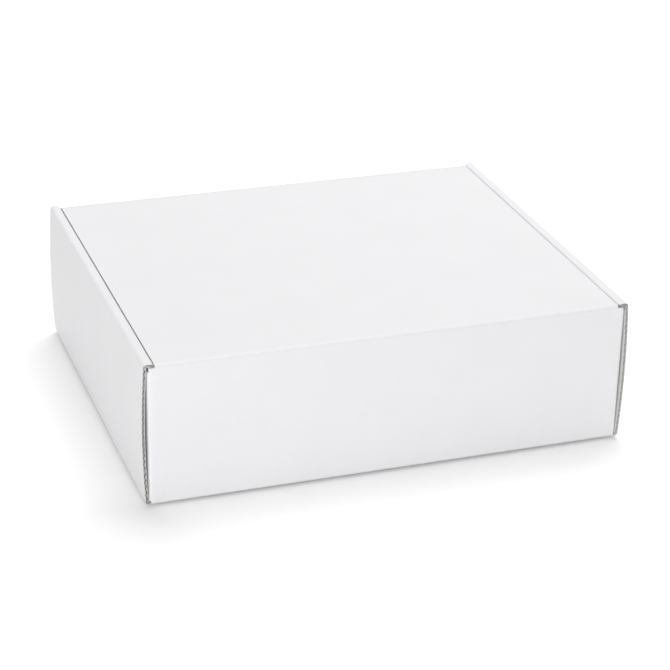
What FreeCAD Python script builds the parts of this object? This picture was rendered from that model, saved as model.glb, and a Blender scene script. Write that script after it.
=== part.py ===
import FreeCAD, Part
import math
import os

# A roll-end mailer box of corrugated board, closed. The blank is one sheet. The tray is the bottom
# with its four walls, and the lid is the panel that swings on the rear wall's top crease.
# Millimetres, +Z up, X along the long side, the tuck front at -Y and the lid's hinge at +Y.
# The origin is the centre of the underside.

# Outside sizes of the closed box
length = 250.0
depth = 208.0
height = 75.0

# The board: two liners with a fluted sheet between them
board = 1.6
liner = 0.2
medium = 0.18
flute_pitch = 3.4
crest_foot = 0.45
crest_half = 0.25

# Folds and the room between layers
fold_radius = 1.8
layer_gap = 0.3
edge_gap = 0.3
side_bow = 1.2
side_setback = 0.6

# The lid lies a little below the tops of the side walls
lid_drop = 0.6
hook_tail = 0.6
wall_clearance = 0.3

# Ears of the front and rear walls, held between the layers of the side walls
ear_length = 96.0
ear_lift = 0.4
ear_corner = 14.0

# Locking tabs of the inner side panels, in slots through the bottom
tab_length = 36.0
tab_offset = 52.0
tab_foot = 0.2
tab_lead = 5.0
slot_room = 0.25
slot_end_room = 0.6

# Tuck flap and its two wings
tuck_gap = 0.5
tuck_length = 42.0
tuck_band = 4.0
swing_clearance = 0.4
wing_gap = 0.8
wing_length = 56.0
wing_top_gap = 1.5
wing_round = 22.0
edge_groove = 1.2

# Values that follow from the sizes above
inner_radius = fold_radius - board
side_width = 3 * board + 2 * layer_gap
side_face = length / 2
front_face = depth / 2
ear_face = side_face - board - layer_gap
wall_half = ear_face - fold_radius
lid_half = side_face - side_width - edge_gap
lid_top = height - lid_drop
shoulder = height - fold_radius - hook_tail - wall_clearance
flute_inset = fold_radius + 0.5 * liner


def vector(x, y, z):
    """A point or direction in space."""
    return FreeCAD.Vector(x, y, z)


class Outline:
    """A closed flat outline, drawn in two directions of its own that place() puts into space."""

    def __init__(self, place, start):
        self.place = place
        self.start = start
        self.at = start
        self.edges = []

    def line(self, *points):
        """Straight stretches from the last point through each of the points."""
        for point in points:
            self.edges.append(Part.LineSegment(self.place(*self.at), self.place(*point)).toShape())
            self.at = point

    def arc(self, middle, end):
        """A round stretch from the last point through middle to end."""
        ends = (self.place(*self.at), self.place(*middle), self.place(*end))
        self.edges.append(Part.Arc(*ends).toShape())
        self.at = end

    def turn(self, centre, radius, first, last):
        """A round stretch about a centre, from one angle to another, in degrees."""
        middle = math.radians((first + last) / 2)
        final = math.radians(last)
        self.arc((centre[0] + radius * math.cos(middle), centre[1] + radius * math.sin(middle)),
                 (centre[0] + radius * math.cos(final), centre[1] + radius * math.sin(final)))

    def wire(self):
        """The outline, closed with a straight stretch where it doesn't end at its start."""
        if math.dist(self.at, self.start) > 1e-6:
            self.line(self.start)
        return Part.Wire(self.edges)


def polygon(place, points):
    """A closed wire through points."""
    outline = Outline(place, points[0])
    outline.line(*points[1:])
    return outline.wire()


def slab(outer, openings, sweep):
    """The solid that a flat outline with openings sweeps out."""
    face = Part.makeFace([outer] + openings, "Part::FaceMakerBullseye")
    return face.extrude(sweep)


def box(low, high):
    """A box between two corners."""
    return Part.makeBox(high[0] - low[0], high[1] - low[1], high[2] - low[2], vector(*low))


def flute(place, middle, opens_outward):
    """One air space of the fluted sheet, with its wide side at the outer or the inner liner.

    place(along, through) puts a point into space, with through 0 at the outer face.
    """
    wide = flute_pitch / 2 - crest_foot
    base = liner if opens_outward else board - liner
    tip = board - liner - medium if opens_outward else liner + medium
    corners = [(middle - wide, base), (middle + wide, base)]
    corners += [(middle + crest_half, tip), (middle - crest_half, tip)]
    return polygon(place, corners)


def flutes(place, first, last):
    """The air spaces on both sides of the fluted sheet, in a run of board from first to last."""
    spaces = 2 * int((last - first) / flute_pitch) - 1
    start = (first + last) / 2 - (spaces - 1) * flute_pitch / 4
    step = flute_pitch / 2
    return [flute(place, start + number * step, number % 2 == 0) for number in range(spaces)]


def bow_at(z):
    """How far the outer side panel stands out at a height."""
    reach = height / 2 - fold_radius
    return side_bow * (1 - ((z - height / 2) / reach) ** 2)


def bottom_panel():
    """The bottom between its four folds, with a slot for each locking tab."""
    x = side_face - fold_radius
    y = front_face - fold_radius
    panel = box((-x, -y, 0), (x, y, board))
    low = side_face - side_width - slot_room
    high = low + board + 2 * slot_room
    reach = tab_length / 2 + slot_end_room
    for side in (-1, 1):
        for place in (-tab_offset, tab_offset):
            near = low if side > 0 else -high
            far = high if side > 0 else -low
            panel = panel.cut(box((near, place - reach, -board), (far, place + reach, 2 * board)))
    return panel


def side_section():
    """The right side wall's section: outer panel, top strip and inner panel, rolled over."""
    y = -front_face + side_setback

    def place(a, b):
        return vector(a, y, b)

    fold = side_face - fold_radius
    low_fold = (fold, fold_radius)
    top_fold = (fold, height - fold_radius)
    inner_face = side_face - side_width
    roll = (inner_face + fold_radius, height - fold_radius)
    foot = board + ear_lift
    outline = Outline(place, (fold, 0))
    outline.turn(low_fold, fold_radius, -90, 0)
    outline.arc((side_face + side_bow, height / 2), (side_face, height - fold_radius))
    outline.turn(top_fold, fold_radius, 0, 90)
    outline.line((roll[0], height))
    outline.turn(roll, fold_radius, 90, 180)
    outline.line((inner_face, foot), (inner_face + board, foot), (inner_face + board, roll[1]))
    outline.turn(roll, inner_radius, 180, 90)
    outline.line((fold, height - board))
    outline.turn(top_fold, inner_radius, 90, 0)
    outline.arc((side_face + side_bow - board, height / 2), (side_face - board, fold_radius))
    outline.turn(low_fold, inner_radius, 0, -90)
    outer = outline.wire()

    def in_outer(along, through):
        return place(side_face + bow_at(along) - through, along)

    def in_inner(along, through):
        return place(inner_face + through, along)

    def in_strip(along, through):
        return place(side_face - along, height - through)

    openings = flutes(in_outer, flute_inset, height - flute_inset)
    openings += flutes(in_inner, foot + liner, height - flute_inset)
    openings.append(flute(in_strip, side_width / 2, True))
    return outer, openings


def side_wall():
    """The right side wall, with its inner panel cut back at both ends and its two locking tabs."""
    outer, openings = side_section()
    wall = slab(outer, openings, vector(0, depth - 2 * side_setback, 0))
    inner_face = side_face - side_width
    inner_end = front_face - board - layer_gap
    for end in (-1, 1):
        near = inner_end if end > 0 else -depth
        far = depth if end > 0 else -inner_end
        hook_bottom = height - fold_radius - hook_tail
        beyond = box((inner_face - board, near, board / 2),
                     (inner_face + board + layer_gap / 2, far, hook_bottom))
        wall = wall.cut(beyond)
    for place in (-tab_offset, tab_offset):
        wall = wall.fuse(locking_tab(place))
    return wall


def locking_tab(place):
    """A tab on the foot of the inner panel, with its lower corners cut off at a slant."""
    x = side_face - side_width
    top = board + ear_lift
    half = tab_length / 2

    def flat(a, b):
        return vector(x, place + a, b)

    slant = top - tab_foot
    lead = min(tab_lead, half / 2)
    corners = [(-half, top), (-half, top - slant / 3), (-half + lead, tab_foot),
               (half - lead, tab_foot), (half, top - slant / 3), (half, top)]
    return slab(polygon(flat, corners), [], vector(board, 0, 0))


def wall_with_ears(face_y, inward, top, fluted):
    """A front or rear wall above its fold, with an ear at each end, as one folded strip.

    face_y is the outer face and inward is +1 or -1, the way to the middle of the box.
    """
    bottom = board + ear_lift

    def place(a, b):
        return vector(a, face_y + inward * b, bottom)

    outline = Outline(place, (-wall_half, 0))
    outline.line((wall_half, 0))
    outline.turn((wall_half, fold_radius), fold_radius, -90, 0)
    outline.line((ear_face, ear_length), (ear_face - board, ear_length))
    outline.line((ear_face - board, fold_radius))
    outline.turn((wall_half, fold_radius), inner_radius, 0, -90)
    outline.line((-wall_half, board))
    outline.turn((-wall_half, fold_radius), inner_radius, 270, 180)
    outline.line((-ear_face + board, ear_length), (-ear_face, ear_length))
    outline.line((-ear_face, fold_radius))
    outline.turn((-wall_half, fold_radius), fold_radius, 180, 270)
    openings = flutes(place, -wall_half, wall_half) if fluted else []
    wall = slab(outline.wire(), openings, vector(0, 0, top - bottom))
    return wall.cut(ear_corners(face_y, inward, top, bottom))


def ear_corners(face_y, inward, top, bottom):
    """The slanted corners that are cut off the free ends of a wall's two ears."""
    end = face_y + inward * (ear_length + board)
    start = face_y + inward * (ear_length - ear_corner)
    slant = ear_corner / 2
    corners = []
    for level, rise in ((top, 1), (bottom, -1)):
        points = [(start, level), (end, level - rise * slant), (end, level + rise * slant),
                  (start, level + rise * slant)]
        corners.append(slab(polygon(lambda a, b: vector(-length, a, b), points), [],
                            vector(2 * length, 0, 0)))
    return Part.makeCompound(corners)


def rear_wall():
    """The rear wall: its fold at the bottom, its face and its half of the hinge crease."""

    def place(a, b):
        return vector(-wall_half, a, b)

    fold = front_face - fold_radius
    crease = lid_top - fold_radius
    outline = Outline(place, (fold, 0))
    outline.turn((fold, fold_radius), fold_radius, -90, 0)
    outline.line((front_face, crease))
    outline.turn((fold, crease), fold_radius, 0, 45)
    mitre = inner_radius * math.cos(math.radians(45))
    outline.line((fold + mitre, crease + mitre))
    outline.turn((fold, crease), inner_radius, 45, 0)
    outline.line((front_face - board, fold_radius))
    outline.turn((fold, fold_radius), inner_radius, 0, -90)
    wall = slab(outline.wire(), [], vector(2 * wall_half, 0, 0))
    for side in (-1, 1):
        near = lid_half if side > 0 else -length
        far = length if side > 0 else -lid_half
        wall = wall.cut(box((near, fold - board, shoulder), (far, depth, height)))
    return wall.fuse(wall_with_ears(front_face, -1, shoulder, False))


def front_wall():
    """The front wall: its fold at the bottom and its face, with a raw fluted top edge."""

    def place(a, b):
        return vector(-wall_half, a, b)

    fold = -front_face + fold_radius
    top = board + ear_lift
    outline = Outline(place, (fold, 0))
    outline.turn((fold, fold_radius), fold_radius, 270, 180)
    outline.line((-front_face, top), (-front_face + board, top), (-front_face + board, fold_radius))
    outline.turn((fold, fold_radius), inner_radius, 180, 270)
    foot = slab(outline.wire(), [], vector(2 * wall_half, 0, 0))
    return foot.fuse(wall_with_ears(-front_face, 1, shoulder, True))


def tray():
    """The bottom with its four walls, folded from one sheet."""
    right = side_wall()
    left = right.mirror(vector(0, 0, 0), vector(1, 0, 0))
    body = bottom_panel().fuse([right, left, front_wall(), rear_wall()])
    return body.removeSplitter()


def hinge_point():
    """Where the hinge axis crosses the YZ plane: the crease's outer line, halfway round its fold."""
    round_off = fold_radius * math.cos(math.radians(45))
    return front_face - fold_radius + round_off, lid_top - fold_radius + round_off


def tuck_tilt():
    """How far the tuck flap leans inward, in degrees, so that it swings clear of the front wall."""
    hinge_y, hinge_z = hinge_point()
    drop = hinge_z - (lid_top - fold_radius - tuck_length)
    reach = hinge_y + front_face - board - swing_clearance
    room = hinge_y + front_face - board - tuck_gap
    lean = room - math.sqrt(reach ** 2 - drop ** 2)
    return math.degrees(math.atan2(lean, tuck_length))


def lid():
    """The lid: its half of the hinge crease, its panel, its front fold and the tuck flap."""

    def place(a, b):
        return vector(-lid_half, a, b)

    tilt = tuck_tilt()
    rear = (front_face - fold_radius, lid_top - fold_radius)
    front = (-front_face + board + tuck_gap + fold_radius, lid_top - fold_radius)
    down = (math.sin(math.radians(tilt)), -math.cos(math.radians(tilt)))
    inward = (math.cos(math.radians(tilt)), math.sin(math.radians(tilt)))
    mitre = inner_radius * math.cos(math.radians(45))
    outer_end = (front[0] - fold_radius * inward[0], front[1] - fold_radius * inward[1])
    inner_end = (front[0] - inner_radius * inward[0], front[1] - inner_radius * inward[1])
    outer_low = (outer_end[0] + tuck_band * down[0], outer_end[1] + tuck_band * down[1])
    inner_low = (inner_end[0] + tuck_band * down[0], inner_end[1] + tuck_band * down[1])

    outline = Outline(place, (rear[0] + mitre, rear[1] + mitre))
    round_off = fold_radius * math.cos(math.radians(45))
    outline.line((rear[0] + round_off, rear[1] + round_off))
    outline.turn(rear, fold_radius, 45, 90)
    outline.line((front[0], lid_top))
    outline.turn(front, fold_radius, 90, 180 + tilt)
    outline.line(outer_low, inner_low, inner_end)
    outline.turn(front, inner_radius, 180 + tilt, 90)
    outline.line((rear[0], lid_top - board))
    outline.turn(rear, inner_radius, 90, 45)
    panel = slab(outline.wire(), [], vector(2 * lid_half, 0, 0))
    for side in (-1, 1):
        near = lid_half - edge_groove if side > 0 else -length
        far = length if side > 0 else -lid_half + edge_groove
        groove = box((near, front[0], lid_top - board + liner), (far, rear[0], lid_top - liner))
        panel = panel.cut(groove)
    flap = tuck_flap(outer_low, down, inward)
    return panel.fuse(flap).removeSplitter()


def tuck_flap(start, down, inward):
    """The tuck flap below its fold, with a wing at each end that lies along the side wall.

    start is the outer face's upper edge, and down and inward are the flap's own directions.
    """
    wing_face = side_face - side_width - wing_gap
    half = wing_face - fold_radius
    fall = tuck_length - tuck_band

    def place(a, b):
        return vector(a, start[0] + b * inward[0], start[1] + b * inward[1])

    outline = Outline(place, (-half, 0))
    outline.line((half, 0))
    outline.turn((half, fold_radius), fold_radius, -90, 0)
    outline.line((wing_face, wing_length), (wing_face - board, wing_length))
    outline.line((wing_face - board, fold_radius))
    outline.turn((half, fold_radius), inner_radius, 0, -90)
    outline.line((-half, board))
    outline.turn((-half, fold_radius), inner_radius, 270, 180)
    outline.line((-wing_face + board, wing_length), (-wing_face, wing_length))
    outline.line((-wing_face, fold_radius))
    outline.turn((-half, fold_radius), fold_radius, 180, 270)

    def in_right_wing(along, through):
        return place(wing_face - through, along)

    def in_left_wing(along, through):
        return place(-wing_face + through, along)

    openings = flutes(place, -half, half)
    openings += flutes(in_right_wing, flute_inset, wing_length)
    openings += flutes(in_left_wing, flute_inset, wing_length)
    sweep = vector(0, fall * down[0], fall * down[1])
    flap = slab(outline.wire(), openings, sweep)
    return flap.common(wing_outline(start, down, inward, fall))


def wing_outline(start, down, inward, fall):
    """The side view of the flap and its wings, which the free corners are cut to."""
    top = lid_top - board - wing_top_gap

    def place(a, b):
        return vector(-length, start[0] + a * inward[0] + b * down[0],
                      start[1] + a * inward[1] + b * down[1])

    def height_at(a):
        """How far down the flap's face the level top edge lies, a given way inward."""
        return (top - start[1] - a * inward[1]) / down[1]

    outline = Outline(place, (-board, -board))
    outline.line((fold_radius, -board), (wing_length, height_at(wing_length)))
    outline.line((wing_length, fall - wing_round))
    outline.turn((wing_length - wing_round, fall - wing_round), wing_round, 0, 90)
    outline.line((-board, fall))
    return slab(outline.wire(), [], vector(2 * length, 0, 0))


def save(shape, name):
    """Write one node as a STEP file."""
    solids = shape.Solids
    print(name, "solids", len(solids), "volume", round(shape.Volume, 1), "valid", shape.isValid())
    target = solids[0] if len(solids) == 1 else shape
    target.exportStep(os.path.join("parts", name + ".step"))


os.makedirs("parts", exist_ok=True)
save(tray(), "tray")
save(lid(), "lid")
print("hinge at", hinge_point(), "tuck flap tilt", tuck_tilt())
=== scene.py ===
"""A corrugated mailer box of folded board with real flutes, on a pale floor."""

from __future__ import annotations

import logging
import math
from collections.abc import Callable, Sequence
from dataclasses import dataclass, field
from enum import Enum

import bmesh
import bpy
from mathutils import Matrix, Vector

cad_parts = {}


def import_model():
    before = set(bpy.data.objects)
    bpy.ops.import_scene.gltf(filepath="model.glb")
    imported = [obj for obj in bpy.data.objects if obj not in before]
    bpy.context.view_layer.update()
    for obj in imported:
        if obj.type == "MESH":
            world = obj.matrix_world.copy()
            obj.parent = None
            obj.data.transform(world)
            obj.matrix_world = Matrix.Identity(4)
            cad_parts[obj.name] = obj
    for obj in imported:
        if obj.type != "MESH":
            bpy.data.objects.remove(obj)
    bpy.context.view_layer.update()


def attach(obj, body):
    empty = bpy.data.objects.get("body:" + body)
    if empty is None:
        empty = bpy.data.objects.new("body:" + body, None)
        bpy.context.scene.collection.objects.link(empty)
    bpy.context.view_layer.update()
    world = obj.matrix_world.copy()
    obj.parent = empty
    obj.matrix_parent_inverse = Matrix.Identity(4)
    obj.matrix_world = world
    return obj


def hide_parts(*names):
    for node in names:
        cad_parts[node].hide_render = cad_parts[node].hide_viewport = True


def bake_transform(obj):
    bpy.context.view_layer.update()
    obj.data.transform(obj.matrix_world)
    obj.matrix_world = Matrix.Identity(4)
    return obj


MM = 0.001
TOUCH = 1e-6
SHARP_ANGLE = math.radians(35)

log = logging.getLogger("mailer_box")

Place = Callable[[float, float], Vector]


class Axis(Enum):
    """The direction of the box that a row of flutes repeats along."""

    X = 0
    Z = 2


class End(Enum):
    """The two long walls, by the way they face."""

    REAR = 1
    FRONT = -1


@dataclass(frozen=True)
class Board:
    """Corrugated board in millimetres: two liners with a fluted sheet between them."""

    thickness: float = 1.6
    liner: float = 0.2
    medium: float = 0.18
    pitch: float = 3.4
    fold_radius: float = 1.8
    wave_steps: int = 10
    fold_steps: int = 8
    bow_steps: int = 24
    calm_reach: float = 1.5
    slack: float = 0.02

    @property
    def middle(self) -> float:
        """Half the board's thickness."""
        return self.thickness / 2

    @property
    def core(self) -> float:
        """The room between the liners."""
        return self.thickness - 2 * self.liner

    @property
    def swing(self) -> float:
        """How far the fluted sheet swings to each side of the middle."""
        return (self.core - self.medium) / 2

    @property
    def step(self) -> float:
        """The length of board between two rows of the fluted sheet."""
        return self.pitch / self.wave_steps


@dataclass(frozen=True)
class BoxSizes:
    """The driving sizes of the closed box, in millimetres."""

    length: float = 250.0
    depth: float = 208.0
    height: float = 75.0
    layer_gap: float = 0.3
    edge_gap: float = 0.3
    side_bow: float = 1.2
    side_setback: float = 0.6
    lid_drop: float = 0.6
    wall_clearance: float = 0.3
    ear_length: float = 96.0
    ear_lift: float = 0.4
    ear_corner: float = 14.0
    foot_reach: float = 0.9
    tab_length: float = 36.0
    tab_offset: float = 52.0
    tab_foot: float = 0.2
    tab_lead: float = 5.0
    slot_room: float = 0.25
    slot_end_room: float = 0.6
    tuck_gap: float = 0.5
    tuck_length: float = 42.0
    tuck_band: float = 4.0
    swing_clearance: float = 0.4
    wing_gap: float = 0.8
    wing_length: float = 56.0
    wing_top_gap: float = 1.5
    wing_round: float = 22.0
    board: Board = field(default_factory=Board)

    @property
    def side_width(self) -> float:
        """The width of a side wall's top strip."""
        return 3 * self.board.thickness + 2 * self.layer_gap

    @property
    def side_face(self) -> float:
        """How far a side wall's outer face stands from the middle plane."""
        return self.length / 2

    @property
    def front_face(self) -> float:
        """How far a long wall's outer face stands from the middle plane."""
        return self.depth / 2

    @property
    def ear_face(self) -> float:
        """How far an ear's outer face stands from the middle plane."""
        return self.side_face - self.board.thickness - self.layer_gap

    @property
    def wall_half(self) -> float:
        """Half the length of a long wall between its corner folds."""
        return self.ear_face - self.board.fold_radius

    @property
    def lid_half(self) -> float:
        """Half the length of the lid."""
        return self.side_face - self.side_width - self.edge_gap

    @property
    def lid_top(self) -> float:
        """The height of the lid's upper face."""
        return self.height - self.lid_drop

    @property
    def shoulder(self) -> float:
        """The height of the long walls' raw top edges, close under the side walls' top strips."""
        return self.height - self.board.thickness - self.wall_clearance

    @property
    def foot(self) -> float:
        """The height of the lower edges that stand clear of the bottom."""
        return self.board.thickness + self.ear_lift

    @property
    def crease(self) -> float:
        """The height of the centre that the lid's folds turn about."""
        return self.lid_top - self.board.fold_radius

    @property
    def crease_foot(self) -> float:
        """The height at which the bending part of the rear wall starts."""
        return self.crease - self.board.thickness

    @property
    def crease_back(self) -> float:
        """How far back the bending part of the lid ends."""
        return self.front_face - self.board.fold_radius - self.board.thickness

    @property
    def lid_front(self) -> float:
        """How far forward the centre of the lid's front fold lies."""
        return self.front_face - self.board.thickness - self.tuck_gap - self.board.fold_radius

    @property
    def tuck_tilt(self) -> float:
        """Works out the tuck flap's lean, with which its edge swings clear of the front wall.

        Returns:
            How far the flap leans inward, in radians.
        """
        round_off = self.board.fold_radius * math.cos(math.pi / 4)
        hinge_y = self.front_face - self.board.fold_radius + round_off
        hinge_z = self.crease + round_off
        drop = hinge_z - (self.crease - self.tuck_length)
        wall = hinge_y + self.front_face - self.board.thickness
        lean = wall - self.tuck_gap - math.sqrt((wall - self.swing_clearance) ** 2 - drop**2)
        return math.atan2(lean, self.tuck_length)


@dataclass(frozen=True)
class Station:
    """One place on a board's outer face, in section."""

    spot: Vector
    out: Vector
    run: float
    folded: bool


class FoldLine:
    """The outer face of a folded board in section, walked with the outer side on the right."""

    def __init__(
        self, board: Board, start: tuple[float, float], heading: tuple[float, float], fine: bool
    ) -> None:
        """Starts the line.

        Args:
            board: The board that is folded.
            start: The first place, in millimetres.
            heading: The unit direction of the first run.
            fine: Whether straight runs are cut into the flutes' steps.
        """
        self.board = board
        self.fine = fine
        self.heading = Vector(heading)
        self.stations = [Station(Vector(start), Vector((heading[1], -heading[0])), 0.0, False)]

    def _add(self, spot: Vector, out: Vector, length: float, folded: bool) -> None:
        """Adds a place that lies a length of board further on."""
        self.stations.append(Station(spot, out, self.stations[-1].run + length, folded))

    def straight(self, length: float, bow: float = 0.0) -> None:
        """Walks a straight run, or one that stands out by bow in its middle.

        Args:
            length: The length of the run.
            bow: How far the middle of the run stands out.
        """
        last = self.stations[-1]
        coarse = self.board.bow_steps if bow else 1
        count = max(coarse, round(length / self.board.step)) if self.fine else coarse
        for number in range(1, count + 1):
            share = number / count
            rise = bow * 4 * share * (1 - share)
            spot = last.spot + self.heading * length * share + last.out * rise
            self._add(spot, last.out, length / count, False)

    def fold(self, angle: float = math.pi / 2) -> None:
        """Turns the board towards its inner side.

        Args:
            angle: How far the board turns, in radians.
        """
        last = self.stations[-1]
        radius = self.board.fold_radius
        centre = last.spot - last.out * radius
        count = self.board.fold_steps
        arc = (radius - self.board.middle) * angle / count
        for number in range(1, count + 1):
            out = Matrix.Rotation(angle * number / count, 2) @ last.out
            self._add(centre + out * radius, out, arc, True)
        self.heading = Matrix.Rotation(angle, 2) @ self.heading

    def mark(self) -> int:
        """The number of the last station."""
        return len(self.stations) - 1

    def layer(self, depth: float) -> list[Vector]:
        """The line's places at a depth below the outer face."""
        return [station.spot - station.out * depth for station in self.stations]

    def flutes(self) -> list[Vector]:
        """The line of the fluted sheet, which is pressed flat in the folds.

        Returns:
            The places of the sheet's middle, one for each station.
        """
        folds = [station.run for station in self.stations if station.folded]
        line = []
        for station in self.stations:
            near = min((abs(station.run - fold) for fold in folds), default=math.inf)
            share = min(1.0, near / self.board.calm_reach)
            swing = self.board.swing * share * share * (3 - 2 * share)
            depth = self.board.middle - swing * math.cos(math.tau * station.run / self.board.pitch)
            line.append(station.spot - station.out * depth)
        return line


class Ribbon:
    """A strip of sheet that is extruded from edge to edge along a line of places."""

    def __init__(
        self, name: str, path: Sequence[Vector], across: Vector, cuts: Sequence[float] = ()
    ) -> None:
        """Makes the strip and leaves it in edit mode with its last edges selected.

        Args:
            name: The name of the piece.
            path: The places of the strip's first long edge.
            across: The way from the first long edge to the other.
            cuts: Distances across the strip at which it is divided.
        """
        self.tip = path[1].copy()
        self.across = across.normalized()
        forward = path[1] - path[0]
        bpy.ops.object.select_all(action="DESELECT")
        bpy.ops.mesh.primitive_plane_add(size=1.0)
        self.piece = bpy.context.object
        self.piece.name = name
        normal = forward.cross(across).normalized()
        frame = Matrix((forward, across, normal)).transposed().to_4x4()
        frame.translation = path[0] + (forward + across) / 2
        self.piece.matrix_world = frame
        bpy.ops.object.transform_apply(location=True, rotation=True, scale=True)
        bpy.ops.object.mode_set(mode="EDIT")
        bpy.ops.mesh.select_mode(type="EDGE")
        for cut in cuts:
            bpy.ops.mesh.select_all(action="SELECT")
            bpy.ops.mesh.bisect(plane_co=path[0] + self.across * cut, plane_no=self.across)
        self.hold()
        self.go(path[1:])

    def go(self, path: Sequence[Vector]) -> None:
        """Extrudes the selected edges along a line of places.

        Args:
            path: The place where the edges are now, and then those that they go through.
        """
        for here, there in zip(path, path[1:]):
            bpy.ops.mesh.extrude_region_move(TRANSFORM_OT_translate={"value": there - here})
        self.tip = path[-1].copy()

    def hold(self, *spans: tuple[float, float]) -> None:
        """Selects the strip's last edges and nothing else.

        Args:
            spans: The parts of the strip to select, as distances across it. None selects all.
        """

        def beside(place: Vector) -> float:
            """How far a place lies from the line of the last edges."""
            offset = place - self.tip
            return (offset - self.across * offset.dot(self.across)).length

        def inside(place: Vector) -> bool:
            """Whether a place lies in one of the spans."""
            along = (place - self.tip).dot(self.across)
            return not spans or any(low < along < high for low, high in spans)

        mesh = bmesh.from_edit_mesh(self.piece.data)
        for part in (*mesh.faces, *mesh.edges, *mesh.verts):
            part.select_set(False)
        for edge in mesh.edges:
            first, second = (corner.co for corner in edge.verts)
            if max(beside(first), beside(second)) < TOUCH and inside((first + second) / 2):
                edge.select_set(True)
        bmesh.update_edit_mesh(self.piece.data)

    def narrow(self, centre: Vector, share: float) -> None:
        """Draws the selected edges in towards a place, across the strip."""
        factors = [1 - (1 - share) * abs(value) for value in self.across]
        bpy.ops.transform.resize(value=factors, center_override=centre)

    def choose(self, test: Callable[[Vector], bool]) -> None:
        """Selects some of the strip's faces and nothing else.

        Args:
            test: Whether the face with a given middle is selected.
        """
        bpy.ops.mesh.select_mode(type="FACE")
        mesh = bmesh.from_edit_mesh(self.piece.data)
        for part in (*mesh.edges, *mesh.verts, *mesh.faces):
            part.select_set(False)
        for face in mesh.faces:
            if test(face.calc_center_median()):
                face.select_set(True)
        bmesh.update_edit_mesh(self.piece.data)

    def drop(self, test: Callable[[Vector], bool]) -> None:
        """Deletes the faces whose middles pass a test."""
        self.choose(test)
        bpy.ops.mesh.delete(type="FACE")

    def trim(self, place: Vector, outward: Vector, test: Callable[[Vector], bool]) -> None:
        """Cuts off what lies beyond a plane, among the faces whose middles pass a test.

        Args:
            place: A point of the plane.
            outward: The way towards what is cut off.
            test: Which faces the cut goes through.
        """
        self.choose(test)
        bpy.ops.mesh.bisect(plane_co=place, plane_no=outward, clear_outer=True)

    def thicken(
        self, thickness: float, face: bpy.types.Material, rim: bpy.types.Material
    ) -> bpy.types.Object:
        """Gives the strip its thickness, half to each side, and its two finishes.

        Args:
            thickness: The sheet's thickness in millimetres.
            face: The finish of the sheet's faces.
            rim: The finish of its cut edges.

        Returns:
            The finished piece.
        """
        bpy.ops.mesh.select_all(action="SELECT")
        bpy.ops.mesh.normals_make_consistent(inside=False)
        bpy.ops.object.mode_set(mode="OBJECT")
        self.piece.data.materials.append(face)
        self.piece.data.materials.append(rim)
        wall = self.piece.modifiers.new("sheet", "SOLIDIFY")
        wall.thickness = thickness * MM
        wall.offset = 0.0
        wall.use_even_offset = True
        wall.material_offset_rim = 1
        bpy.ops.object.modifier_apply(modifier=wall.name)
        bpy.ops.object.shade_smooth_by_angle(angle=SHARP_ANGLE)
        return self.piece


def vector(x: float, y: float, z: float) -> Vector:
    """A point or a way in metres, from millimetres."""
    return Vector((x, y, z)) * MM


def joined(name: str, pieces: Sequence[bpy.types.Object]) -> bpy.types.Object:
    """Joins pieces into one mesh.

    Args:
        name: The name of the joined piece.
        pieces: The pieces, of which the first takes in the others.

    Returns:
        The joined piece.
    """
    bpy.ops.object.select_all(action="DESELECT")
    for piece in pieces:
        piece.select_set(True)
    bpy.context.view_layer.objects.active = pieces[0]
    bpy.ops.object.join()
    pieces[0].name = name
    pieces[0].data.name = name
    return pieces[0]


def mirrored(piece: bpy.types.Object, ways: tuple[float, float, float]) -> bpy.types.Object:
    """A copy of a piece with its own mesh, on the other side of a middle plane.

    Args:
        piece: The piece to copy.
        ways: -1 for the direction that is mirrored, and 1 for the others.

    Returns:
        The copy.
    """
    bpy.ops.object.select_all(action="DESELECT")
    piece.select_set(True)
    bpy.context.view_layer.objects.active = piece
    bpy.ops.object.duplicate(linked=False)
    copy = bpy.context.object
    bpy.ops.object.mode_set(mode="EDIT")
    bpy.ops.mesh.select_all(action="SELECT")
    bpy.ops.transform.resize(value=ways, center_override=(0.0, 0.0, 0.0))
    bpy.ops.mesh.normals_make_consistent(inside=False)
    bpy.ops.object.mode_set(mode="OBJECT")
    return copy


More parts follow.
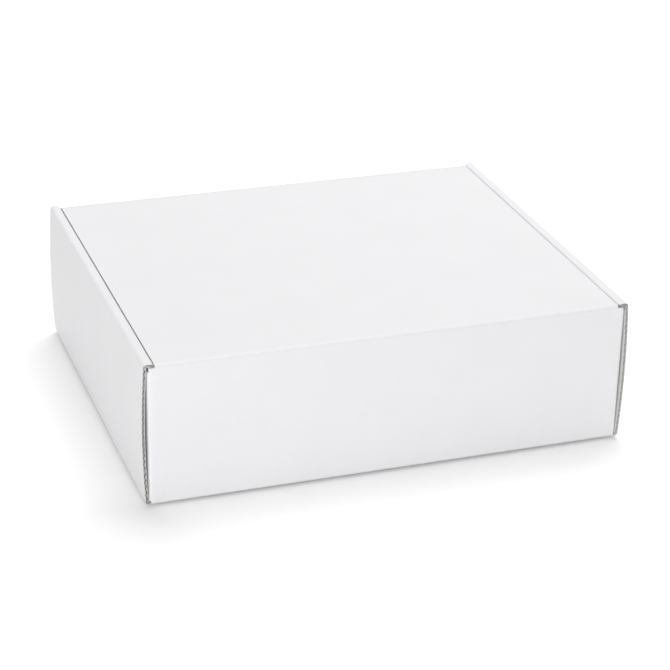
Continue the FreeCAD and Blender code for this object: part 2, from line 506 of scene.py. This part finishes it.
class NodeSheet:
    """The nodes of a material or of the world, added and linked one by one."""

    def __init__(self, owner: bpy.types.Material | bpy.types.World) -> None:
        """Empties the owner's node tree.

        Args:
            owner: The material or the world that the nodes belong to.
        """
        owner.use_nodes = True
        self.tree = owner.node_tree
        self.tree.nodes.clear()

    def add(self, kind: str, **settings: object) -> bpy.types.Node:
        """Adds a node.

        Args:
            kind: The node's type.
            settings: Its properties by name.

        Returns:
            The node.
        """
        node = self.tree.nodes.new(kind)
        for key, value in settings.items():
            setattr(node, key, value)
        return node

    def link(self, source: bpy.types.NodeSocket, target: bpy.types.NodeSocket) -> None:
        """Links two sockets."""
        self.tree.links.new(source, target)

    def noise(
        self, place: bpy.types.NodeSocket, scale: float, detail: float
    ) -> bpy.types.NodeSocket:
        """Adds a noise pattern.

        Args:
            place: The coordinates that it lies on.
            scale: How fine it is.
            detail: How many finer layers it has.

        Returns:
            The pattern's value.
        """
        node = self.add("ShaderNodeTexNoise")
        node.inputs["Scale"].default_value = scale
        node.inputs["Detail"].default_value = detail
        self.link(place, node.inputs["Vector"])
        return node.outputs[0]

    def spread(
        self,
        source: bpy.types.NodeSocket,
        low: float,
        high: float,
        bottom: float = 0.3,
        top: float = 0.7,
    ) -> bpy.types.NodeSocket:
        """Maps a pattern's usual range onto another.

        Args:
            source: The pattern's value.
            low: What the pattern's low end becomes.
            high: What its high end becomes.
            bottom: The pattern's low end.
            top: The pattern's high end.

        Returns:
            The mapped value.
        """
        node = self.add("ShaderNodeMapRange")
        node.inputs["From Min"].default_value = bottom
        node.inputs["From Max"].default_value = top
        node.inputs["To Min"].default_value = low
        node.inputs["To Max"].default_value = high
        self.link(source, node.inputs["Value"])
        return node.outputs["Result"]

    def math(
        self,
        operation: str,
        first: bpy.types.NodeSocket,
        second: bpy.types.NodeSocket | float = 0.0,
    ) -> bpy.types.NodeSocket:
        """Adds a sum of two values, or another operation.

        Args:
            operation: The operation's name.
            first: The first value.
            second: The second value, as a socket or a number.

        Returns:
            The result.
        """
        node = self.add("ShaderNodeMath", operation=operation)
        self.link(first, node.inputs[0])
        if isinstance(second, float):
            node.inputs[1].default_value = second
        else:
            self.link(second, node.inputs[1])
        return node.outputs[0]

    def seen(self) -> bpy.types.NodeSocket:
        """Tells what is seen from what only takes part in the lighting.

        Returns:
            1 for the camera, a reflection or a view through glass, and 0 for all else.
        """
        path = self.add("ShaderNodeLightPath").outputs
        direct = self.math("MAXIMUM", path["Is Camera Ray"], path["Is Glossy Ray"])
        return self.math("MAXIMUM", direct, path["Is Transmission Ray"])


@dataclass(frozen=True)
class PaperFinish:
    """A paper surface with fibres, faint clouds and the flutes' shallow ripple under it."""

    name: str
    tint: tuple[float, float, float]
    shade: tuple[float, float, float]
    roughness: float
    fibre: float = 1.0
    ripple: float = 0.0
    axis: Axis = Axis.X
    gloss: float = 0.35
    cloud_scale: float = 38.0
    cloud_detail: float = 3.0
    cloud_share: float = 0.45
    fleck_scale: float = 900.0
    fleck_detail: float = 4.0
    fleck_share: float = 0.55
    grain_scale: float = 2600.0
    grain_detail: float = 2.0
    grain_share: float = 0.5
    rough_spread: float = 0.05
    relief: float = 0.012

    def build(self, board: Board) -> bpy.types.Material:
        """Makes the material.

        Args:
            board: The board whose flutes show through.

        Returns:
            The material.
        """
        material = bpy.data.materials.new(self.name)
        sheet = NodeSheet(material)
        place = sheet.add("ShaderNodeTexCoord").outputs["Object"]
        cloud = sheet.noise(place, self.cloud_scale, self.cloud_detail)
        fleck = sheet.noise(place, self.fleck_scale, self.fleck_detail)
        grain = sheet.noise(place, self.grain_scale, self.grain_detail)
        mottle = sheet.math(
            "ADD",
            sheet.spread(cloud, 0.0, self.cloud_share),
            sheet.spread(fleck, 0.0, self.fleck_share),
        )
        mix = sheet.add("ShaderNodeMix", data_type="RGBA")
        sockets = {socket.identifier: socket for socket in (*mix.inputs, *mix.outputs)}
        sockets["A_Color"].default_value = (*self.tint, 1.0)
        sockets["B_Color"].default_value = (*self.shade, 1.0)
        sheet.link(mottle, sockets["Factor_Float"])
        surface = sheet.add("ShaderNodeBsdfPrincipled")
        surface.inputs["Specular IOR Level"].default_value = self.gloss
        sheet.link(sockets["Result_Color"], surface.inputs["Base Color"])
        low, high = self.roughness - self.rough_spread, self.roughness + self.rough_spread
        sheet.link(sheet.spread(fleck, low, high), surface.inputs["Roughness"])
        height = sheet.math("MULTIPLY", grain, self.grain_share)
        height = sheet.math("ADD", height, fleck)
        height = sheet.math("MULTIPLY", height, self.relief * MM * self.fibre)
        if self.ripple:
            parts = sheet.add("ShaderNodeSeparateXYZ")
            sheet.link(place, parts.inputs[0])
            along = parts.outputs[self.axis.value]
            turn = sheet.math("MULTIPLY", along, math.tau / (board.pitch * MM))
            wave = sheet.math("MULTIPLY", sheet.math("SINE", turn), self.ripple * MM)
            height = sheet.math("ADD", height, wave)
        bump = sheet.add("ShaderNodeBump")
        bump.inputs["Distance"].default_value = 1.0
        bump.inputs["Strength"].default_value = 1.0
        sheet.link(height, bump.inputs["Height"])
        sheet.link(bump.outputs[0], surface.inputs["Normal"])
        output = sheet.add("ShaderNodeOutputMaterial")
        sheet.link(surface.outputs[0], output.inputs["Surface"])
        return material


class Finishes:
    """The papers of the board, made once and shared by all its pieces."""

    def __init__(self, board: Board) -> None:
        """Builds the liners' finish for each direction of the flutes, and the fluted sheet's.

        Args:
            board: The board whose flutes show through the liners.
        """
        self.outside = {
            axis: PaperFinish(
                name=f"outer_liner_{axis.name.lower()}",
                tint=(0.905, 0.902, 0.917),
                shade=(0.875, 0.872, 0.887),
                roughness=0.5,
                ripple=0.006,
                axis=axis,
            ).build(board)
            for axis in Axis
        }
        self.inside = {
            axis: PaperFinish(
                name=f"inner_liner_{axis.name.lower()}",
                tint=(0.88, 0.88, 0.875),
                shade=(0.83, 0.83, 0.82),
                roughness=0.62,
                fibre=1.6,
                ripple=0.008,
                axis=axis,
                gloss=0.25,
            ).build(board)
            for axis in Axis
        }
        self.medium = PaperFinish(
            name="fluted_sheet",
            tint=(0.80, 0.79, 0.775),
            shade=(0.68, 0.665, 0.645),
            roughness=0.75,
            fibre=3.0,
            gloss=0.15,
        ).build(board)
        self.cut = PaperFinish(
            name="cut_edge",
            tint=(0.82, 0.815, 0.80),
            shade=(0.70, 0.69, 0.67),
            roughness=0.75,
            fibre=4.0,
            gloss=0.15,
        ).build(board)


@dataclass
class BoardPart:
    """A part of the folded sheet, which turns a fold line into liners and a fluted sheet."""

    sizes: BoxSizes
    finishes: Finishes

    @property
    def board(self) -> Board:
        """The board that the part is folded from."""
        return self.sizes.board

    def liner(self, ribbon: Ribbon, outer: bool, axis: Axis) -> bpy.types.Object:
        """Thickens a ribbon to a liner."""
        finish = self.finishes.outside if outer else self.finishes.inside
        return ribbon.thicken(self.board.liner, finish[axis], self.finishes.cut)

    def medium(self, ribbon: Ribbon) -> bpy.types.Object:
        """Thickens a ribbon to the fluted sheet."""
        return ribbon.thicken(self.board.medium, self.finishes.medium, self.finishes.medium)

    def filling(self, ribbon: Ribbon) -> bpy.types.Object:
        """Thickens a ribbon to the pressed sheet in a fold."""
        room = self.board.core - self.board.slack
        return ribbon.thicken(room, self.finishes.medium, self.finishes.medium)

    def depths(self) -> tuple[float, float]:
        """The depths of the middles of the outer and the inner liner."""
        half = self.board.liner / 2
        return half, self.board.thickness - half

    def plain_fold(
        self, name: str, line: FoldLine, place: Place, across: Vector, axis: Axis
    ) -> list[bpy.types.Object]:
        """A fold with its two liners and the pressed sheet between them.

        Args:
            name: The name of the fold.
            line: The fold in section.
            place: Puts a place of the section into space.
            across: The way along the fold.
            axis: The direction that the flutes repeat along.

        Returns:
            The three layers.
        """
        layers = []
        for outer, depth in zip((True, False), self.depths()):
            path = [place(*spot) for spot in line.layer(depth)]
            layers.append(self.liner(Ribbon(f"{name}_liner", path, across), outer, axis))
        path = [place(*spot) for spot in line.layer(self.board.middle)]
        layers.append(self.filling(Ribbon(f"{name}_filling", path, across)))
        return layers


@dataclass
class BottomPanel(BoardPart):
    """The bottom with a slot for each locking tab."""

    def build(self) -> list[bpy.types.Object]:
        """Builds the bottom's liners and its fluted sheet.

        Returns:
            The three layers.
        """
        sizes, board = self.sizes, self.board
        half_x = sizes.side_face - board.fold_radius
        half_y = sizes.front_face - board.fold_radius
        low = sizes.side_face - sizes.side_width - sizes.slot_room
        high = low + board.thickness + 2 * sizes.slot_room
        reach = sizes.tab_length / 2 + sizes.slot_end_room
        ends = [side * sizes.tab_offset + way * reach for side in (-1, 1) for way in (-1, 1)]

        def place(a: float, b: float) -> Vector:
            """Puts a place of the section into space."""
            return vector(a, -half_y, b)

        def in_slot(spot: Vector) -> bool:
            """Whether a place lies in one of the slots."""
            x, y = abs(spot.x) / MM, abs(spot.y) / MM
            return low < x < high and abs(y - sizes.tab_offset) < reach

        layers = []
        across = vector(0, 2 * half_y, 0)
        cuts = [(end + half_y) * MM for end in ends]
        for fine in (False, True):
            line = FoldLine(board, (-half_x, 0.0), (1.0, 0.0), fine)
            for length in (half_x - high, high - low, 2 * low, high - low, half_x - high):
                line.straight(length)
            if fine:
                path = [place(*spot) for spot in line.flutes()]
                ribbon = Ribbon("bottom_flutes", path, across, cuts)
                ribbon.drop(in_slot)
                layers.append(self.medium(ribbon))
                continue
            for outer, depth in zip((True, False), self.depths()):
                path = [place(*spot) for spot in line.layer(depth)]
                ribbon = Ribbon("bottom_liner", path, across, cuts)
                ribbon.drop(in_slot)
                layers.append(self.liner(ribbon, outer, Axis.X))
        return layers


@dataclass
class SideWall(BoardPart):
    """The right side wall, rolled over and locked in the bottom, and its mirrored twin."""

    tab_square: float = 1 / 3

    def line(self, fine: bool) -> tuple[FoldLine, int]:
        """Walks the wall's section from the bottom's fold to the inner panel's foot.

        Args:
            fine: Whether the runs are cut into the flutes' steps.

        Returns:
            The line, and the station from which the inner panel is cut back.
        """
        sizes, radius = self.sizes, self.board.fold_radius
        line = FoldLine(self.board, (sizes.side_face - radius, 0.0), (1.0, 0.0), fine)
        line.fold()
        line.straight(sizes.height - 2 * radius, sizes.side_bow)
        line.fold()
        line.straight(sizes.side_width - 2 * radius)
        half_turn = math.pi / 4
        line.fold(half_turn)
        hook = line.mark()
        line.fold(half_turn)
        line.straight(sizes.height - radius - sizes.foot)
        return line, hook

    def roll(self, name: str, spots: Sequence[Vector], hook: int) -> Ribbon:
        """Rolls one layer of the wall, cut back on the inner panel, with its two tabs.

        Args:
            name: The name of the layer.
            spots: The layer's places in section.
            hook: The station from which the inner panel is cut back.

        Returns:
            The layer before it is thickened.
        """
        sizes = self.sizes
        end = sizes.front_face - sizes.side_setback
        inner_end = sizes.front_face - self.board.thickness - sizes.layer_gap
        half = sizes.tab_length / 2
        middles = [side * sizes.tab_offset for side in (-1, 1)]
        tabs = [(middle - half, middle + half) for middle in middles]
        places = [-inner_end, *tabs[0], *tabs[1], inner_end]
        path = [vector(spot.x, -end, spot.y) for spot in spots]
        cuts = [(spot + end) * MM for spot in places]
        ribbon = Ribbon(name, path[: hook + 1], vector(0, 2 * end, 0), cuts)
        ribbon.hold(((end - inner_end) * MM, (end + inner_end) * MM))
        ribbon.go(path[hook:])
        foot = path[-1]
        drop = sizes.foot - sizes.tab_foot
        shoulder = foot - vector(0, 0, drop * self.tab_square)
        tip = foot - vector(0, 0, drop)
        for low, high in tabs:
            ribbon.tip = foot
            ribbon.hold(((low + end) * MM, (high + end) * MM))
            ribbon.go([foot, shoulder, tip])
            centre = Vector((tip.x, (low + high) / 2 * MM, tip.z))
            ribbon.narrow(centre, 1 - sizes.tab_lead / half)
        return ribbon

    def build(self) -> list[bpy.types.Object]:
        """Builds the right wall's layers and their mirrored copies.

        Returns:
            The layers of both walls.
        """
        line, hook = self.line(False)
        layers = []
        for outer, depth in zip((True, False), self.depths()):
            ribbon = self.roll("side_liner", line.layer(depth), hook)
            layers.append(self.liner(ribbon, outer, Axis.Z))
        line, hook = self.line(True)
        layers.append(self.medium(self.roll("side_flutes", line.flutes(), hook)))
        return layers + [mirrored(layer, (-1.0, 1.0, 1.0)) for layer in layers]


@dataclass
class EarStrip(BoardPart):
    """A strip of board with an ear folded in at each end."""

    half: float = 0.0
    ear: float = 0.0
    split: float | None = None

    def line(self, fine: bool) -> FoldLine:
        """Walks the strip from one ear's free end to the other's.

        Args:
            fine: Whether the runs are cut into the flutes' steps.

        Returns:
            The line, with 0, 0 in the middle of the strip's outer face.
        """
        radius = self.board.fold_radius
        line = FoldLine(self.board, (self.half + radius, -self.ear), (0.0, 1.0), fine)
        line.straight(self.ear - radius)
        line.fold()
        if self.split is None:
            line.straight(2 * self.half)
        else:
            for length in (self.half - self.split, 2 * self.split, self.half - self.split):
                line.straight(length)
        line.fold()
        line.straight(self.ear - radius)
        return line

    def ribbons(
        self,
        name: str,
        place: Place,
        across: Vector,
        cuts: Sequence[float],
        shape: Callable[[Ribbon], None],
    ) -> list[bpy.types.Object]:
        """Builds the strip's liners and fluted sheet.

        Args:
            name: The name of the strip.
            place: Puts a place of the section into space.
            across: The way along the flutes.
            cuts: Distances along the flutes at which the strip is divided.
            shape: Cuts each layer to its outline.

        Returns:
            The three layers.
        """
        layers = []
        line = self.line(False)
        for outer, depth in zip((True, False), self.depths()):
            path = [place(*spot) for spot in line.layer(depth)]
            ribbon = Ribbon(f"{name}_liner", path, across, cuts)
            shape(ribbon)
            layers.append(self.liner(ribbon, outer, Axis.X))
        line = self.line(True)
        path = [place(*spot) for spot in line.flutes()]
        ribbon = Ribbon(f"{name}_flutes", path, across, cuts)
        shape(ribbon)
        layers.append(self.medium(ribbon))
        return layers


@dataclass
class LongWall(BoardPart):
    """A front or rear wall with its fold at the bottom and its two ears."""

    end: End = End.REAR

    def cut_corners(self, ribbon: Ribbon) -> None:
        """Cuts the slanted corners off the free ends of the ears.

        Args:
            ribbon: One layer of the wall and its ears.
        """
        sizes, way = self.sizes, self.end.value
        start = way * (sizes.front_face - sizes.ear_length + sizes.ear_corner)
        run = sizes.ear_corner + self.board.thickness
        slant = sizes.ear_corner / 2
        for level, rise in ((sizes.shoulder, 1), (sizes.foot, -1)):
            for side in (-1, 1):
                ribbon.trim(
                    vector(0, start, level),
                    Vector((0, -way * slant, rise * run)).normalized(),
                    lambda spot: side * spot.x > (sizes.ear_face - self.board.thickness) * MM,
                )

    def cut_notches(self, ribbon: Ribbon) -> None:
        """Lowers the ears' tops from the middle of their folds, which leaves a hole at each corner.

        Args:
            ribbon: One layer of the wall and its ears, divided at the height of the lowered tops.
        """
        radius = self.board.fold_radius
        inner = (self.sizes.front_face - radius) * MM
        outer = (self.sizes.wall_half + radius / 2) * MM
        ribbon.drop(
            lambda spot: spot.z > self.sizes.crease_foot * MM
            and (abs(spot.y) < inner or abs(spot.x) > outer)
        )

    def open_crease(self, ribbon: Ribbon) -> None:
        """Takes out the rear wall's top band, where the bending part of the sheet stands.

        Args:
            ribbon: One layer of the wall and its ears, divided at the height of the band's foot.
        """
        sizes = self.sizes
        ribbon.drop(
            lambda spot: spot.z > sizes.crease_foot * MM
            and abs(spot.x) < sizes.lid_half * MM
            and abs(spot.y) > (sizes.front_face - self.board.thickness) * MM
        )

    def build(self) -> list[bpy.types.Object]:
        """Builds the wall.

        Returns:
            The layers of the wall, its ears and its bottom fold.
        """
        sizes, board, way = self.sizes, self.board, self.end.value
        name = self.end.name.lower()
        rear = self.end is End.REAR
        split = sizes.lid_half if rear else None
        strip = EarStrip(sizes, self.finishes, sizes.wall_half, sizes.ear_length, split)

        def shape(ribbon: Ribbon) -> None:
            """Cuts one layer to its outline.

            Args:
                ribbon: The layer.
            """
            if rear:
                self.open_crease(ribbon)
            self.cut_notches(ribbon)
            self.cut_corners(ribbon)

        layers = strip.ribbons(
            f"{name}_wall",
            lambda a, b: vector(a, way * (sizes.front_face + b), sizes.foot),
            vector(0, 0, sizes.shoulder - sizes.foot),
            [(sizes.crease_foot - sizes.foot) * MM],
            shape,
        )
        line = FoldLine(board, (sizes.front_face - board.fold_radius, 0.0), (1.0, 0.0), False)
        line.fold()
        line.straight(sizes.foot - board.fold_radius)
        foot_half = sizes.wall_half + sizes.foot_reach
        layers += self.plain_fold(
            f"{name}_foot",
            line,
            lambda a, b: vector(-foot_half, way * a, b),
            vector(2 * foot_half, 0, 0),
            Axis.X,
        )
        return layers


@dataclass
class HingeCrease(BoardPart):
    """The part of the sheet at the lid's rear fold, from the rear wall to the lid."""

    run_steps: int = 4
    bend_reach: float = 0.27

    def build(self) -> bpy.types.Object:
        """Builds the crease as one piece.

        Returns:
            The piece, which stands between the tray and the lid.
        """
        sizes, board = self.sizes, self.board
        line = FoldLine(board, (sizes.front_face, sizes.crease_foot), (0.0, 1.0), False)
        for _ in range(self.run_steps):
            line.straight(board.thickness / self.run_steps)
        line.fold()
        for _ in range(self.run_steps):
            line.straight(board.thickness / self.run_steps)
        layers = self.plain_fold(
            "crease",
            line,
            lambda a, b: vector(-sizes.lid_half, a, b),
            vector(2 * sizes.lid_half, 0, 0),
            Axis.X,
        )
        return joined("hinge_crease", layers)

    def attach(self, piece: bpy.types.Object) -> None:
        """Bakes the crease's place into its mesh; it is not attached to the tray or the lid, and
        the middle of its fold is worked out but not used.

        Args:
            piece: The crease.
        """
        half = self.board.fold_radius / 2
        middle = vector(0, self.sizes.front_face - half, self.sizes.crease + half)
        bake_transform(piece)


@dataclass
class Lid(BoardPart):
    """The lid's panel and its front fold, down to where the tuck flap starts."""

    def line(self) -> FoldLine:
        """Walks the lid's section from the crease to the tuck flap.

        Returns:
            The line.
        """
        sizes = self.sizes
        line = FoldLine(self.board, (sizes.crease_back, sizes.lid_top), (-1.0, 0.0), False)
        line.straight(sizes.crease_back + sizes.lid_front)
        line.fold(math.pi / 2 + sizes.tuck_tilt)
        line.straight(sizes.tuck_band)
        return line

    def build(self) -> list[bpy.types.Object]:
        """Builds the lid's liners, its fluted sheet and the filling of its fold.

        Returns:
            The layers.
        """
        sizes, board = self.sizes, self.board
        line = self.line()
        across = vector(2 * sizes.lid_half, 0, 0)

        def place(a: float, b: float) -> Vector:
            """Puts a place of the section into space."""
            return vector(-sizes.lid_half, a, b)

        layers = []
        for outer, depth in zip((True, False), self.depths()):
            path = [place(*spot) for spot in line.layer(depth)]
            layers.append(self.liner(Ribbon("lid_liner", path, across), outer, Axis.X))
        fold = [place(*spot) for spot in line.layer(board.middle)][1:]
        layers.append(self.filling(Ribbon("lid_fold_filling", fold, across)))
        rows = FoldLine(board, (sizes.lid_half, sizes.lid_top), (-1.0, 0.0), True)
        rows.straight(2 * sizes.lid_half)
        path = [vector(spot.x, -sizes.lid_front, spot.y) for spot in rows.flutes()]
        along = vector(0, sizes.lid_front + sizes.crease_back, 0)
        layers.append(self.medium(Ribbon("lid_flutes", path, along)))
        return layers


@dataclass
class TuckFlap(BoardPart):
    """The tuck flap with a wing folded in at each end."""

    round_steps: int = 10

    def build(self) -> list[bpy.types.Object]:
        """Builds the flap and its wings.

        Returns:
            The three layers.
        """
        sizes, board = self.sizes, self.board
        tilt = sizes.tuck_tilt
        inward = Vector((0.0, math.cos(tilt), math.sin(tilt)))
        down = Vector((0.0, math.sin(tilt), -math.cos(tilt)))
        fold = Vector((0.0, -sizes.lid_front, sizes.crease))
        start = fold - inward * board.fold_radius + down * sizes.tuck_band
        fall = sizes.tuck_length - sizes.tuck_band
        wing_face = sizes.side_face - sizes.side_width - sizes.wing_gap
        strip = EarStrip(sizes, self.finishes, wing_face - board.fold_radius, sizes.wing_length)
        top = sizes.lid_top - board.thickness - sizes.wing_top_gap
        end_drop = (top - start.z - sizes.wing_length * inward.z) / down.z

        def spot_at(a: float, b: float) -> Vector:
            """A place on the flap's side view, a inward and b down, in metres."""
            return (start + inward * a + down * b) * MM

        def in_wing(spot: Vector) -> bool:
            """Whether a place lies in a wing's flat part."""
            return (spot / MM - start).dot(inward) > board.fold_radius

        def shape(ribbon: Ribbon) -> None:
            """Cuts one layer's wings to their outline.

            Args:
                ribbon: The layer.
            """
            root = spot_at(board.fold_radius, -board.thickness)
            level = spot_at(sizes.wing_length, end_drop) - root
            upward = Vector((0.0, -level.z, level.y)).normalized()
            ribbon.trim(root, upward, in_wing)
            radius = sizes.wing_round
            centre = (sizes.wing_length - radius, fall - radius)
            for number in range(self.round_steps):
                angle = math.pi / 2 * (number + 0.5) / self.round_steps
                outward = inward * math.cos(angle) + down * math.sin(angle)
                ribbon.trim(spot_at(*centre) + outward * radius * MM, outward, in_wing)

        return strip.ribbons(
            "tuck_flap",
            lambda a, b: (start - inward * b) * MM + vector(a, 0, 0),
            down * fall * MM,
            [],
            shape,
        )


@dataclass(frozen=True)
class SoftBox:
    """A large square lamp that faces the box."""

    name: str
    place: tuple[float, float, float]
    size: float
    power: float

    def build(self, target: Vector) -> bpy.types.Object:
        """Hangs the lamp.

        Args:
            target: The place that it faces.

        Returns:
            The lamp.
        """
        lamp = bpy.data.lights.new(self.name, "AREA")
        lamp.shape = "SQUARE"
        lamp.size = self.size
        lamp.energy = self.power
        holder = bpy.data.objects.new(self.name, lamp)
        bpy.context.scene.collection.objects.link(holder)
        holder.location = self.place
        holder.rotation_euler = (target - holder.location).to_track_quat("-Z", "Y").to_euler()
        return holder


@dataclass
class Studio:
    """A pale floor under soft light, and the camera."""

    floor_size: float = 12.0
    floor_drop: float = 0.0012
    floor_white: float = 0.94
    floor_seen: float = 1.2
    fade_start: float = 0.5
    fade_end: float = 1.0
    world_level: float = 0.43
    aim_height: float = 35.0
    camera_place: tuple[float, float, float] = (0.335104, 0.97069, 0.512154)
    camera_forward: tuple[float, float, float] = (-0.299662, -0.853143, -0.427024)
    camera_right: tuple[float, float, float] = (-0.946361, 0.322506, 0.019775)
    lens: float = 114.2
    sensor: float = 36.0
    far_clip: float = 50.0
    lamps: tuple[SoftBox, ...] = (
        SoftBox("key_light", (-0.35, -0.5, 1.5), 1.2, 14.2),
        SoftBox("fill_light", (1.0, 1.55, 0.35), 1.0, 15.5),
    )

    def build(self) -> None:
        """Sets up the floor, the world, the lamps and the camera."""
        self.floor()
        self.world()
        target = vector(0, 0, self.aim_height)
        for lamp in self.lamps:
            lamp.build(target)
        self.camera()
        bpy.context.scene.view_settings.view_transform = "Standard"

    def floor(self) -> None:
        """Lays the floor, which is lifted to white where it is seen and away from the box."""
        bpy.ops.object.select_all(action="DESELECT")
        place = (0.0, 0.0, -self.floor_drop)
        bpy.ops.mesh.primitive_plane_add(size=self.floor_size, location=place)
        floor = bpy.context.object
        floor.name = "floor"
        material = bpy.data.materials.new("floor_white")
        sheet = NodeSheet(material)
        paint = sheet.add("ShaderNodeBsdfDiffuse")
        seen = sheet.seen()
        white = sheet.spread(seen, self.floor_white, self.floor_seen, 0.0, 1.0)
        sheet.link(white, paint.inputs["Color"])
        reach = sheet.add("ShaderNodeVectorMath", operation="LENGTH")
        sheet.link(sheet.add("ShaderNodeTexCoord").outputs["Object"], reach.inputs[0])
        away = sheet.spread(reach.outputs["Value"], 0.0, 1.0, self.fade_start, self.fade_end)
        fade = sheet.add("ShaderNodeMixShader")
        sheet.link(sheet.math("MULTIPLY", away, seen), fade.inputs[0])
        sheet.link(paint.outputs[0], fade.inputs[1])
        sheet.link(sheet.add("ShaderNodeEmission").outputs[0], fade.inputs[2])
        output = sheet.add("ShaderNodeOutputMaterial")
        sheet.link(fade.outputs[0], output.inputs["Surface"])
        floor.data.materials.append(material)

    def world(self) -> None:
        """Fills the world with plain light, which is white where it is seen."""
        world = bpy.data.worlds.new("studio")
        bpy.context.scene.world = world
        sheet = NodeSheet(world)
        sky = sheet.add("ShaderNodeBackground")
        sky.inputs["Color"].default_value = (1.0, 1.0, 1.0, 1.0)
        level = sheet.spread(sheet.seen(), self.world_level, 1.0, 0.0, 1.0)
        sheet.link(level, sky.inputs["Strength"])
        output = sheet.add("ShaderNodeOutputWorld")
        sheet.link(sky.outputs[0], output.inputs["Surface"])

    def camera(self) -> None:
        """Sets the camera at the photograph's angle."""
        lens = bpy.data.cameras.new("camera")
        lens.sensor_width = self.sensor
        lens.lens = self.lens
        lens.clip_end = self.far_clip
        holder = bpy.data.objects.new("camera", lens)
        bpy.context.scene.collection.objects.link(holder)
        right = Vector(self.camera_right).normalized()
        back = -Vector(self.camera_forward).normalized()
        up = back.cross(right).normalized()
        turn = Matrix((right, up, back)).transposed().to_4x4()
        turn.translation = Vector(self.camera_place)
        holder.matrix_world = turn
        bpy.context.scene.camera = holder


def report(piece: bpy.types.Object) -> None:
    """Logs a finished piece with its number of faces."""
    log.info("%s: %d faces", piece.name, len(piece.data.polygons))


def main() -> None:
    """Builds the box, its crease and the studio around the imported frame."""
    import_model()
    sizes = BoxSizes()
    finishes = Finishes(sizes.board)

    parts = BottomPanel(sizes, finishes).build()
    parts += SideWall(sizes, finishes).build()
    for end in End:
        parts += LongWall(sizes, finishes, end).build()
    tray = joined("tray_board", parts)
    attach(tray, "tray")
    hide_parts("tray")
    report(tray)

    lid = joined("lid_board", Lid(sizes, finishes).build() + TuckFlap(sizes, finishes).build())
    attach(lid, "lid")
    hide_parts("lid")
    report(lid)

    hinge = HingeCrease(sizes, finishes)
    crease = hinge.build()
    hinge.attach(crease)
    report(crease)

    Studio().build()


if __name__ == "__main__":
    logging.basicConfig(level=logging.INFO, format="%(name)s: %(message)s")
    main()
